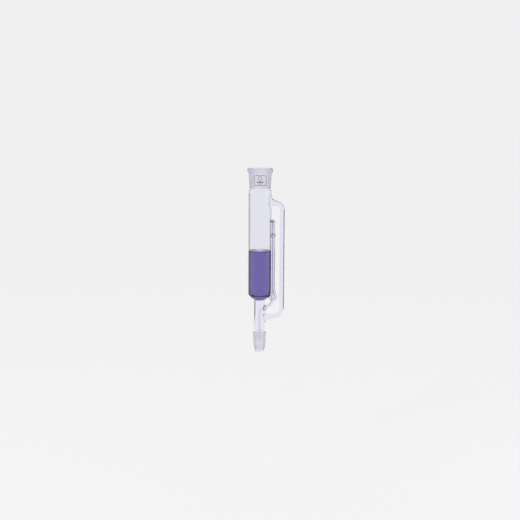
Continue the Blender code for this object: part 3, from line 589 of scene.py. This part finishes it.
siphonSizes = {
    "radius": 3.5, "bore": 1.5, "standoff": 1.3, "legY": 5.0, "sealZ": 59.6,
    "outletSlope": -49.0, "outletLength": 4.4, "outletRadius": 4.8, "outletBore": 3.0,
    "outletReach": 5.4, "outletFill": 8.6, "outletHoleFrom": 11.65, "outletHoleLength": 12.0,
    "riserRun": 1.6, "riserBend": 6.0, "riserLean": 22.0, "riserEase": 20.0,
    "legLean": 10.0, "legLeanBend": 50.0, "legLeanRun": 8.0, "legBend": 11.0, "fall": 28.0,
    "dripEase": 15.0, "dripFall": 5.0, "dripBend": 8.5, "dripEndRound": 1.0,
    "dripEnd": boxes["drip_tube"][0][2], "threadEnd": boxes["siphon_extract"][0][2],
    "shades": (0.62, -0.35), "innerShades": (-0.8, -0.8),
}
legX = chamberSizes["radius"] + siphonSizes["standoff"] + siphonSizes["radius"]
legY = siphonSizes["legY"]
legTop = boxes["siphon_top_bend"][1][2] - siphonSizes["radius"] - legY
rearPlane = ((0, 0), (legX, legY))
frontSide, bendSide, rearSide = (0, 1, 0), (-1, 0, 0), (-legY, legX, 0)


# A point on the outlet's axis, which starts from the middle of the bowl's corner
def outletAt(distance):
    c, slope = chamberSizes, math.radians(siphonSizes["outletSlope"])
    reach = c["corner"] + siphonSizes["outletLength"] + distance
    return (c["radius"] - c["corner"] + reach * math.cos(slope),
            bowl(0)[0, 1] + reach * math.sin(slope))


# Under the outlet and up in a U, back in a lean, then straight up beside the chamber
def riserRoute():
    s = siphonSizes
    lean, wide = math.radians(s["riserLean"]), s["riserEase"]
    hook = [("go", s["riserRun"]), ("bend", s["riserBend"], 90 + s["riserLean"] - s["outletSlope"])]
    afterHook = route(outletAt(0), s["outletSlope"], hook)[-1]
    leanRun = (afterHook[0] - legX - wide * (1 - math.cos(lean))) / math.sin(lean)
    uprightFrom = afterHook[1] + leanRun * math.cos(lean) + wide * math.sin(lean)
    return route(outletAt(0), s["outletSlope"], [
        *hook, ("go", leanRun), ("bend", wide, -s["riserLean"]), ("go", legTop - uprightFrom)])


# The moves from the upright leg to the stem's wall, and those of the drip tube after it
def downMoves():
    s = siphonSizes
    toFall, toDrip = 90 - s["fall"], 90 - s["dripFall"]
    cosLean, cosFall, cosDrip = (math.cos(math.radians(a)) for a in (s["legLean"], toFall, toDrip))
    inside = s["dripEase"] * (cosFall - cosDrip) + s["dripBend"] * (1 - cosDrip)
    lean = s["legLeanBend"] * (1 - cosLean) + s["legLeanRun"] * math.sin(math.radians(s["legLean"]))
    bend = s["legBend"] * (cosLean - cosFall)
    fallRun = (math.hypot(legX, legY) - inside - lean - bend) / math.sin(math.radians(toFall))
    outside = [("bend", s["legLeanBend"], -s["legLean"]), ("go", s["legLeanRun"]),
               ("bend", s["legBend"], s["legLean"] - toFall), ("go", fallRun)]
    return outside, [("bend", s["dripEase"], toFall - toDrip), ("bend", s["dripBend"], toDrip)]


# Down the leg, whose axis meets the stem's wall at the seal's height
def downRoute():
    outside, _ = downMoves()
    out = math.hypot(legX, legY)
    crossing = route((out, 0), -90, outside)[-1]
    pastWall = (stemSizes["radius"] - crossing[0]) * math.tan(math.radians(siphonSizes["fall"]))
    bendTop = siphonSizes["sealZ"] - crossing[1] - pastWall
    return route((out, legTop), -90, [("go", legTop - bendTop), *outside])


def dripRoute(start):
    s = siphonSizes
    curve = route(start[:2], math.degrees(start[2]), downMoves()[1])
    fall = curve[-1, 1] - s["dripEnd"] - s["dripEndRound"]
    return np.concatenate([curve, route(curve[-1, :2], -90, [("go", fall)])[1:]])


riserPath = inPlane(riserRoute(), (0, -legY), (1, 0))
bendPath = inPlane(route((0, legTop), 90, [("bend", legY, -180)]), (legX, -legY), (0, 1))
downStations = downRoute()
downPath = inPlane(downStations, *rearPlane)
dripPath = inPlane(dripRoute(downStations[-1]), *rearPlane)


# The siphon's tubes carry painted shade, a dark outline on their -x side
def makeSiphonTubes():
    s = siphonSizes
    for name, path, first, node in (("siphonRiser", riserPath, frontSide, "siphon_riser"),
                                    ("siphonTopBend", bendPath, bendSide, "siphon_top_bend"),
                                    ("siphonDownLeg", downPath, rearSide, "siphon_down_leg")):
        spots, headings = path[0].copy(), path[1]
        spots[0] -= headings[0] * overlap * mm
        spots[-1] += headings[-1] * overlap * mm
        piece = tube(name, spots, headings, first, s["radius"], s["bore"], shades=s["shades"])
        finishPiece(piece, siphonGlass, "clear_glass", node)


# The drip tube's end is melted round: a half circle over the wall's thickness
def makeDripTube():
    s = siphonSizes
    spots, headings = dripPath
    a = np.linspace(0, np.pi / 2, 6)
    middle, half = (s["radius"] + s["bore"]) / 2, (s["radius"] - s["bore"]) / 2
    tail = spots[-1] + headings[-1] * (half * np.sin(a)[:, None] * mm)
    spots = np.concatenate([spots, tail])
    headings = np.concatenate([headings, np.repeat(headings[-1:], len(a), axis=0)])
    straight = np.zeros(len(dripPath[0]))
    outer = np.concatenate([straight + s["radius"], middle + half * np.cos(a)])
    inner = np.concatenate([straight + s["bore"], middle - half * np.cos(a)])
    return tube("dripTube", spots, headings, rearSide, outer, inner, shades=s["innerShades"])


# The outlet's axis, from a distance back inside up to where the riser starts
def outletPath(back):
    stations = route(outletAt(0), siphonSizes["outletSlope"] + 180, [("go", back)], step=0.6)[::-1]
    stations[:, 2] -= math.pi
    return inPlane(stations, (0, -legY), (1, 0))


def makeOutlet():
    s = siphonSizes
    spots, headings = outletPath(s["outletReach"])
    t = np.linspace(0, 1, len(spots))
    narrowing = t * t * (3 - 2 * t)
    outer = s["outletRadius"] + (s["radius"] - s["outletRadius"]) * narrowing
    inner = s["outletBore"] + (s["bore"] - s["outletBore"]) * narrowing
    spots[-1] += headings[-1] * overlap * mm
    return tube("outletStub", spots, headings, frontSide, outer, inner, shades=s["innerShades"])


# The thread fills the bore from the outlet to the drip tube, a little into the glass
def makeThread():
    s = siphonSizes
    drip = dripPath[0][dripPath[0][:, 2] > s["threadEnd"] * mm]
    spots = np.concatenate([riserPath[0], bendPath[0][1:], downPath[0][1:], drip[1:]])
    headings = np.concatenate([riserPath[1], bendPath[1][1:], downPath[1][1:],
                               dripPath[1][1:len(drip)]])
    return rod("extractThread", spots, headings, frontSide, s["bore"] + overlap / 2,
               layers={"edgeShade": 1.0})


def makeOutletExtract():
    s = siphonSizes
    spots, headings = outletPath(s["outletFill"])
    along = np.linspace(-s["outletFill"], 0, len(spots))
    t = np.clip(along / s["outletReach"] + 1, 0, 1)
    radius = s["outletBore"] + (s["bore"] - s["outletBore"]) * t * t * (3 - 2 * t) + overlap / 2
    return rod("outletExtract", spots, headings, frontSide, radius, layers={"edgeShade": -1.0})


armSizes = {
    "tubeX": (boxes["vapour_tube"][0][0] + boxes["vapour_tube"][1][0]) / 2,
    "radius": 5.45, "wall": 1.4, "tubeShades": (-0.3, 0.5), "rootDepth": 0.5, "slideOver": 1.6,
    "upperZ": 301.9, "upperSlope": -12.0, "upperBend": 14.0, "upperMouth": (12.8, 10.2),
    "upperFlare": 5.0, "upperOpening": 0.55, "upperShades": (-0.6, 0.24),
    "lowerZ": 37.2, "lowerSlope": 10.0, "lowerBend": 17.0, "lowerMouth": (11.6, 9.0),
    "lowerFlare": 3.4, "lowerOpening": 0.0, "lowerShades": (-0.1, -0.6),
    "wayBefore": 4.0, "wayBeyond": 1.0,
}


# A flared arm as a closed skin, or the way through it: its radius falls from the mouth's to the
# tube's as exp(-d / flare), and its first rings are slid along it on to a cylinder of radius reach.
# The way is less by the wall, and starts before the arm, where it opens as exp(back / flare).
def makeArm(end, stations, reach, isWay=False):
    a = armSizes
    less = a["wall"] if isWay else 0
    mouth, flare = a[end + "Mouth"], a[end + "Flare"]
    spots, headings = inPlane(stations, (0, 0), (1, 0))
    steps = np.linalg.norm(np.diff(spots, axis=0), axis=1) / mm
    d = np.concatenate([[0], np.cumsum(steps)])
    die = np.exp(-d / flare)
    tall = a["radius"] + (mouth[0] - a["radius"]) * die - less
    wide = a["radius"] + (mouth[1] - a["radius"]) * die - less
    skin = rings(spots, headings, (0, 1, 0), tall, wide, 48)
    outward = np.sqrt(np.maximum((reach * mm) ** 2 - skin[0, :, 1] ** 2, 1e-8))
    slide = (outward - skin[0, :, 0]) / headings[0, 0]
    fade = np.exp(-(d / (a["slideOver"] * flare)) ** 2)[:, None, None]
    skin += slide[None, :, None] * headings[0] * fade
    if isWay:
        back = np.linspace(a["wayBefore"], 0, 6, endpoint=False)[:, None, None]
        centre = skin[0].mean(axis=0)
        wider = 1 + a[end + "Opening"] * (np.exp(back / flare) - 1)
        inward = centre + (skin[0] - centre) * wider - headings[0] * back * mm
        skin = np.concatenate([inward, skin, skin[-1:] + headings[-1] * a["wayBeyond"] * mm])
    caps = [np.broadcast_to(ring.mean(axis=0), (1, 48, 3)) for ring in (skin[0], skin[-1])]
    return makeSkin(end + "Arm", np.concatenate([caps[0], skin, caps[1]]))


# How far points lie to the left of the nearest station of a route, in mm
def besideRoute(x, z, stations):
    apart = (x[:, None] - stations[:, 0]) ** 2 + (z[:, None] - stations[:, 1]) ** 2
    nearest = stations[apart.argmin(axis=1)]
    return (z - nearest[:, 1]) * np.cos(nearest[:, 2]) - (x - nearest[:, 0]) * np.sin(nearest[:, 2])


# Out of a wall along a slope, then round on to the upright tube: the upper arm turns down, the lower
# one up. The stations of the straight run crowd towards the wall, as t^2.
def armRoute(end, wallRadius):
    a = armSizes
    slope, bend, down = a[end + "Slope"], a[end + "Bend"], end == "upper"
    tilt = math.radians(slope)
    run = a["tubeX"] - bend * (1 + math.sin(tilt) * (1 if down else -1)) - wallRadius
    run /= math.cos(tilt)
    start = (wallRadius, a[end + "Z"])
    near = route(start, slope, [("go", run)], step=run / 30)
    share = np.linspace(0, 1, len(near)) ** 2
    near[:, 0] = start[0] + share * (near[-1, 0] - start[0])
    near[:, 1] = start[1] + share * (near[-1, 1] - start[1])
    turning = ("bend", bend, (-90 if down else 90) - slope)
    return np.concatenate([near, route(near[-1][:2], slope, [turning])[1:]])


upperStations = armRoute("upper", chamberSizes["radius"])
lowerStations = armRoute("lower", stemSizes["radius"])


# Painted shade darkens the vapour tube's outline on its +x side and lightens it on its -x side
def makeVapourTube():
    a = armSizes
    low, high = lowerStations[-1, 1] - overlap, upperStations[-1, 1] + overlap
    spots, headings = inPlane(route((a["tubeX"], low), 90, [("go", high - low)], step=8), (0, 0), (1, 0))
    return tube("vapourTube", spots, headings, (0, 1, 0), a["radius"], a["radius"] - a["wall"], 48,
                shades=a["tubeShades"])


# Straight round cutter along a slope in an upright plane
def makeCutter(start, slope, length, radius, foot=(0, 0), out=(1, 0)):
    spots, headings = inPlane(route(start, slope, [("go", length)], step=length), foot, out)
    return rod("cutter", spots, headings, (-out[1], out[0], 0), radius, count=64)


sealSizes = {
    "inside": 0.6, "length": 4.9, "flare": 1.8, "lip": 0.25, "tall": 8.4, "wide": 6.8,
    "wall": 1.3, "before": 3.0, "holeBack": 8.0, "holeLength": 21.0,
}


# The collar is a trumpet round the leg, or the way through it: from inside the stem's wall out, its
# radius dies away to a little over the leg's, as exp(-d / flare)
def makeRingSeal(isWay=False):
    c, radius = sealSizes, siphonSizes["radius"]
    at, fall = downStations[-1], math.radians(siphonSizes["fall"])
    distance = np.linspace(0, 1, 18) ** 1.5 * c["length"]
    u = stemSizes["radius"] - c["inside"] + distance
    if isWay:
        u[0] -= c["before"]
    stations = np.stack([u, at[1] + (u - at[0]) * math.tan(fall), np.zeros(len(u))], axis=-1)
    spots, headings = inPlane(stations, *rearPlane)
    die = np.exp(-distance / c["flare"])
    narrow = radius / math.cos(fall) + c["lip"]
    less = c["wall"] if isWay else 0
    tall = narrow + (c["tall"] - narrow) * die - less
    wide = radius + c["lip"] + (c["wide"] - radius) * die - less
    skin = rings(spots, headings, rearSide, tall, wide, 48)
    caps = [np.broadcast_to(spots[k], (1, 48, 3)) for k in (0, -1)]
    return makeSkin("ringSeal", np.concatenate([caps[0], skin, caps[1]]))


beadSizes = {
    "bridgeZ": 227.0, "bridgeHeight": 9.8, "bridgeWrap": 1.9,
    "stayHeight": 7.0, "stayWidth": 8.0, "stayWrap": 0.6, "stayDrop": 1.2,
    "sunk": 0.2, "cutOver": 45.0, "shades": (0.1, -0.3),
}


# A ball drawn out to three half sizes
def makeBead(name, centre, half):
    t, p = np.linspace(0, np.pi, 25)[:, None], np.linspace(0, 2 * np.pi, 48, endpoint=False)
    unit = np.stack([np.sin(t) * np.cos(p), np.sin(t) * np.sin(p), np.broadcast_to(np.cos(t), (25, 48))],
                    axis=-1)
    unit[[0, -1]] = [[[0, 0, 1]], [[0, 0, -1]]]
    return makeSkin(name, (np.array(centre) + unit * np.array(half)) * mm)


# What the chamber takes off a bead: a cylinder that the bead is sunk into a little
def makeChamberCutter():
    radius = chamberSizes["radius"] - beadSizes["sunk"]
    low, high = poolSizes["top"], legTop + beadSizes["cutOver"]
    return makeSkin("cutter", turn(np.array([[0, low], [radius, low], [radius, high], [0, high]])))


# Painted shade on the beads: the bridge bead's outline is darker on its -x side, the stay bead has less
# painted edge shade all over
def makeBeads():
    b, radius = beadSizes, siphonSizes["radius"]
    thin, around = radius - overlap, radius + b["bridgeWrap"]
    bridge = makeBead("bridgeBead", (legX, 0, b["bridgeZ"]),
                      (around, legY + around, b["bridgeHeight"] / 2))
    legs = [makeCutter((legX, b["bridgeZ"] - b["bridgeHeight"]), 90, 2 * b["bridgeHeight"], thin,
                       foot=(0, y)) for y in (-legY, legY)]
    carve(bridge, [*legs, makeChamberCutter()])
    shadeEdges(bridge, lambda x, y, z: shadeAcross(x, legX, radius, *b["shades"]))
    finishPiece(bridge, siphonGlass, "clear_glass", "siphon_bridge")
    reach = legX - chamberSizes["radius"]
    stay = makeBead("stayBead", (legX - reach / 2, 0, legTop + legY - b["stayDrop"]),
                    (reach / 2 + b["stayWrap"], b["stayWidth"] / 2, b["stayHeight"] / 2))
    carve(stay, [rod("cutter", *bendPath, bendSide, thin), makeChamberCutter()])
    shadeEdges(stay, lambda x, y, z: b["shades"][1])
    finishPiece(stay, siphonGlass, "clear_glass", "siphon_stay")


# Painted shade of the wall, and past the wall's radius that of the arm, across its own route
def withArm(shade, x, y, z, wallRadius, fade, stations, armShades):
    beside = besideRoute(x, z, stations) / armSizes["radius"]
    inArm = np.clip((np.hypot(x, y) - wallRadius) / fade, 0, 1)
    return shade * (1 - inArm) + shadeAcross(beside, 0, 1, *armShades) * inArm


# Painted shade on the chamber: a slightly darker outline on its -x side and where it holds the extract,
# lighter at the neck, the bottom and the arm's mouth
def shadeChamber(x, y, z):
    c, a = chamberSizes, armSizes
    shade = shadeAcross(x, 0, c["radius"], *c["shades"])
    shade = np.where(z > c["top"] - c["shoulder"], c["neckShade"], shade)
    shade = np.where(z < poolSizes["top"], shade + c["filledShade"], shade)
    shade = np.where(z < c["low"] + c["corner"], c["bottomShade"], shade)
    atMouth = (x > c["radius"] * c["mouthFrom"]) & (np.abs(z - a["upperZ"]) < a["upperMouth"][0] + 1)
    shade = np.where(atMouth, c["mouthShade"], shade)
    return withArm(shade, x, y, z, c["radius"], c["armFade"], upperStations, a["upperShades"])


# Painted shade on the stem: a darker outline on its -x side, fading out towards its foot, and lighter on its
# +x side where the lower arm and the seal join
def shadeStem(x, y, z):
    m = stemSizes
    shade = shadeAcross(x, 0, m["radius"], *m["shades"])
    shade = shade + m["footShade"] * np.clip((m["clearBelow"] - z) / m["clearOver"], 0, 1)
    atSide = (x > m["radius"] * m["sideFrom"]) & (z > m["sideLow"]) & (z < m["sideHigh"])
    shade = np.where(atSide, m["sideShade"], shade)
    return withArm(shade, x, y, z, m["radius"], m["armFade"], lowerStations, armSizes["lowerShades"])


def makeBody():
    c, m, s, seal = chamberSizes, stemSizes, siphonSizes, sealSizes
    root = armSizes["rootDepth"]
    chamber = makeChamber()
    arm, way = (makeArm("upper", upperStations, c["radius"] - root, isWay) for isWay in (False, True))
    outlet = makeCutter(outletAt(-s["outletHoleFrom"]), s["outletSlope"], s["outletHoleLength"],
                        s["outletBore"], foot=(0, -legY))
    carve(chamber, [way, outlet], [arm])
    shadeEdges(chamber, shadeChamber)
    finishPiece(chamber, clearGlass, "clear_glass", "extraction_chamber", "upper_side_arm")
    finishPiece(makeSocket(), groundGlass, "ground_glass", "ground_socket")
    stem = makeStem()
    arm, way = (makeArm("lower", lowerStations, m["radius"] - root, isWay) for isWay in (False, True))
    back, fall = seal["holeBack"], math.tan(math.radians(s["fall"]))
    leg = makeCutter((downStations[-1][0] - back, downStations[-1][1] - back * fall), s["fall"],
                     seal["holeLength"], s["radius"] - overlap, out=rearPlane[1])
    carve(stem, [way, makeRingSeal(isWay=True), leg], [arm, makeRingSeal()])
    shadeEdges(stem, shadeStem)
    finishPiece(stem, clearGlass, "clear_glass", "stem_tube", "lower_side_arm", "drip_ring_seal")
    finishPiece(makeCone(), groundGlass, "ground_glass", "ground_cone")
    print("body made")


makeBody()
makeSiphonTubes()
finishPiece(makeDripTube(), siphonGlass, "clear_glass", "drip_tube")
finishPiece(makeOutlet(), siphonGlass, "clear_glass", "outlet_stub")
makeBeads()
finishPiece(makeVapourTube(), clearGlass, "clear_glass", "vapour_tube")
print("siphon and vapour way made")
finishPiece(makePool(), violetExtract, "violet_extract", "chamber_extract")
finishPiece(makeThread(), paleExtract, "violet_extract", "siphon_extract")
finishPiece(makeOutletExtract(), violetExtract, "violet_extract")
print("extract made")


# The enamel mark fired on to the socket: heights below it are measured down from its top
markSizes = {
    "width": 29.4, "height": 23.1, "top": socketSizes["rimTop"] - 14.2, "corner": 4.2, "line": 0.95,
    "lift": 0.06, "thickness": 0.18, "hexagon": (5.2, 4.1), "hexagonDown": 7.2,
    "bar": (14.0, 3.0, 0.6), "barGap": (10.8, 0.2, 0.05), "barDown": 15.4,
    "base": (10.0, 0.76, 0.3), "baseGap": (9.4, 0.06, 0.02), "baseDown": 19.6,
}


# A flat closed ribbon in (across, height) bent on to the socket: the angle is across / radius
def bentRibbon(name, outerEdge, innerEdge):
    m = markSizes
    edges = []
    for edge, lift in ((outerEdge, 0), (outerEdge, 1), (innerEdge, 1), (innerEdge, 0)):
        wall = socketBore(edge[:, 1]) + socketSizes["wall"]
        radius = wall + m["lift"] + m["thickness"] * lift
        angle = edge[:, 0] / wall
        edges.append(np.stack([radius * np.sin(angle), -radius * np.cos(angle), edge[:, 1]], axis=-1) * mm)
    return makeSkin(name, np.array(edges), loops=True, sharpAt=30)


# Outline of a rounded rectangle: a quarter circle at each corner, evenly divided in between
def roundedOutline(width, height, corner, middle, perSide=14):
    x, z = width / 2 - corner, height / 2 - corner
    corners = [((x, z), 0), ((-x, z), 90), ((-x, -z), 180), ((x, -z), 270)]
    runs = [arc(centre, corner, start, start + 90, 8) for centre, start in corners]
    joined = []
    for run, following in zip(runs, runs[1:] + runs[:1]):
        joined += [run, line(run[-1], following[0], perSide)[1:-1]]
    return np.concatenate(joined) + np.array([0, middle])


def hexagonOutline(radius, middle, perSide=6):
    corners = arc((0, middle), radius, 30, 390, 7)
    return np.concatenate([line(a, b, perSide)[:-1] for a, b in zip(corners, corners[1:])])


def makeMark():
    m, edge = markSizes, markSizes["line"]
    middle, hexagonAt = m["top"] - m["height"] / 2, m["top"] - m["hexagonDown"]
    barAt, baseAt = m["top"] - m["barDown"], m["top"] - m["baseDown"]
    parts = [
        bentRibbon("frame", roundedOutline(m["width"], m["height"], m["corner"], middle),
                   roundedOutline(m["width"] - 2 * edge, m["height"] - 2 * edge, m["corner"] - edge,
                                  middle)),
        bentRibbon("hexagon", *(hexagonOutline(radius, hexagonAt) for radius in m["hexagon"])),
        bentRibbon("bar", roundedOutline(*m["bar"], barAt), roundedOutline(*m["barGap"], barAt)),
        bentRibbon("base", roundedOutline(*m["base"], baseAt), roundedOutline(*m["baseGap"], baseAt))]
    bpy.ops.object.select_all(action="DESELECT")
    for part in parts:
        part.select_set(True)
    bpy.context.view_layer.objects.active = parts[0]
    bpy.ops.object.join()
    parts[0].name = parts[0].data.name = "enamelMark"
    return parts[0]


finishPiece(makeMark(), greyGreenEnamel, "grey_green_enamel", "enamel_patch")
print("enamel made")


# Lights are their place, size and power, in metres and watts, and are turned to target
studio = {
    "air": (0.871, 0.871, 0.871), "floorAlbedo": 0.8, "floorZ": -0.30, "floorRadius": 60.0,
    "target": (0, 0, 0.17), "key": ((-1.3, -1.1, 1.3), (0.5, 1.1), 2.6),
    "fill": ((1.5, -0.6, 0.7), (0.4, 1.2), 1.2), "bounces": 40, "glossyBounces": 12,
}
cameraPlace = {
    "side": 0.0005, "distance": 2.0, "height": 0.4891, "pitch": 9.04, "roll": 0.27, "lens": 61.7,
}


def makeFloor():
    radii = np.array([0, 0.5, 2, 8, studio["floorRadius"]]) / mm
    disc = turn(np.stack([radii, np.full(5, studio["floorZ"] / mm)], axis=-1), 96)
    floor = makeSkin("floor", disc[::-1])
    material, tree, shader, _ = newMaterial("paleFloor")
    albedo = studio["floorAlbedo"]
    # the floor gives back what it doesn't scatter, so that it meets the backdrop without a line
    feed(tree, shader, {"Base Color": (albedo, albedo, albedo, 1), "Roughness": 1.0,
                        "Specular IOR Level": 0.0, "Emission Color": (*studio["air"], 1),
                        "Emission Strength": 1 - albedo})
    floor.data.materials.append(material)


def makeWorld():
    world = bpy.data.worlds.new("paleStudio")
    world.use_nodes = True
    world.node_tree.nodes["Background"].inputs["Color"].default_value = (*studio["air"], 1)
    bpy.context.scene.world = world


def makeSoftLight(name, place, size, power):
    light = bpy.data.lights.new(name, "AREA")
    light.shape, light.size, light.size_y, light.energy = "RECTANGLE", size[0], size[1], power
    lamp = bpy.data.objects.new(name, light)
    bpy.context.scene.collection.objects.link(lamp)
    back = np.array(place, float) - np.array(studio["target"], float)
    z = back / np.linalg.norm(back)
    x = np.cross((0, 0, 1), z)
    x /= np.linalg.norm(x)
    turned = np.stack([x, np.cross(z, x), z], axis=1)
    lamp.matrix_world = Matrix([(*row, p) for row, p in zip(turned, place)] + [(0, 0, 0, 1)])


def makeCamera():
    c = cameraPlace
    data = bpy.data.cameras.new("camera")
    data.lens, data.sensor_width = c["lens"], 36.0
    camera = bpy.data.objects.new("camera", data)
    bpy.context.scene.collection.objects.link(camera)
    camera.matrix_world = (Matrix.Translation((c["side"], -c["distance"], c["height"]))
                           @ Matrix.Rotation(math.radians(90 - c["pitch"]), 4, "X")
                           @ Matrix.Rotation(math.radians(c["roll"]), 4, "Z"))
    bpy.context.scene.camera = camera


makeFloor()
makeWorld()
makeSoftLight("keySoftbox", *studio["key"])
makeSoftLight("fillSoftbox", *studio["fill"])
makeCamera()
scene = bpy.context.scene
scene.view_settings.view_transform = "Standard"
scene.view_settings.look = "None"
scene.cycles.max_bounces = studio["bounces"]
scene.cycles.transmission_bounces = studio["bounces"]
scene.cycles.glossy_bounces = studio["glossyBounces"]
scene.cycles.caustics_reflective = False
print("stage made")
